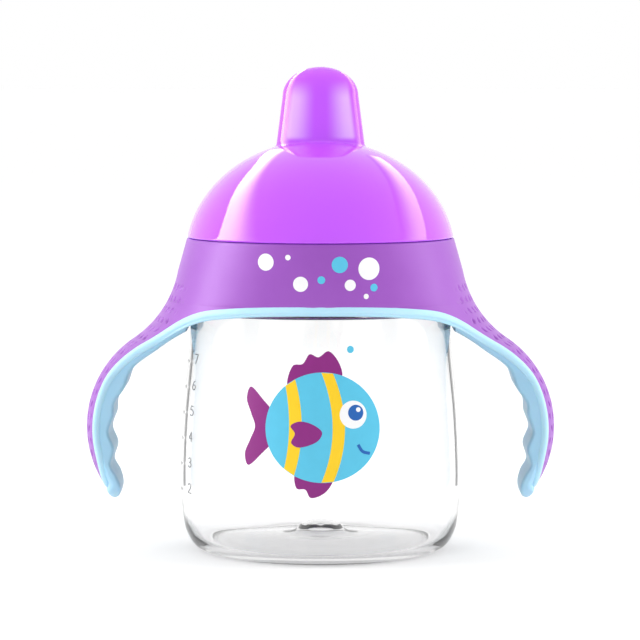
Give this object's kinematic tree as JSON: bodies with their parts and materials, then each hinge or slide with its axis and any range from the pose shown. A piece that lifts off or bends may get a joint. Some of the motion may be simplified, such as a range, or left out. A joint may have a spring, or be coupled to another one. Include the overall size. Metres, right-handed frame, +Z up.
{
  "type": "sippy cup",
  "caption": "Toddler's clear sippy cup with a two-handled collar, screw-on spout lid and a domed snap cap over the spout.",
  "frame": {"origin": "centre of the foot ring, on the surface the cup stands on", "axes": "+Z up along the cup's axis, handles along +X and -X, printed front towards -Y"},
  "size_m": [0.1292, 0.0772, 0.133],
  "materials": {
    "clear_cup": "crystal-clear moulded plastic, polished",
    "satin_purple": "satin injection-moulded purple",
    "soft_blue": "soft-touch light blue elastomer",
    "ring_purple": "gloss purple with moulded grip grooves",
    "lid_lilac": "gloss lilac, hard spout",
    "silicone": "milky silicone",
    "tinted_cap": "tinted translucent purple, polished"
  },
  "bodies": {
    "cup": {"cup_body": "clear_cup"},
    "collar": {"handle_shell": "satin_purple", "front_trim": "soft_blue", "back_trim": "soft_blue", "left_grip": "soft_blue", "right_grip": "soft_blue"},
    "lid": {"spout_lid": "lid_lilac", "lid_gasket": "silicone", "flow_valve": "silicone"},
    "ring": {"screw_ring": "ring_purple"},
    "cap": {"snap_cap": "tinted_cap"}
  },
  "joints": [
    {"name": "handle_turn", "type": "hinge", "parent": "cup", "child": "collar", "pos_m": [0, 0, 0.0715], "axis": [0, 0, 1], "range_deg": [-180, 180]},
    {"name": "lid_lift", "type": "slide", "parent": "cup", "child": "lid", "axis": [0, 0, 1], "range_m": [0, 0.005]},
    {"name": "ring_turn", "type": "hinge", "parent": "lid", "child": "ring", "pos_m": [0, 0, 0.08], "axis": [0, 0, 1], "range_deg": [0, 450]},
    {"name": "cap_lift", "type": "slide", "parent": "lid", "child": "cap", "axis": [0, 0, 1], "range_m": [0, 0.046]}
  ],
  "couplings": [
    {"joint": "ring_turn", "follows": "lid_lift", "rad_per_m": 1570.8}
  ]
}
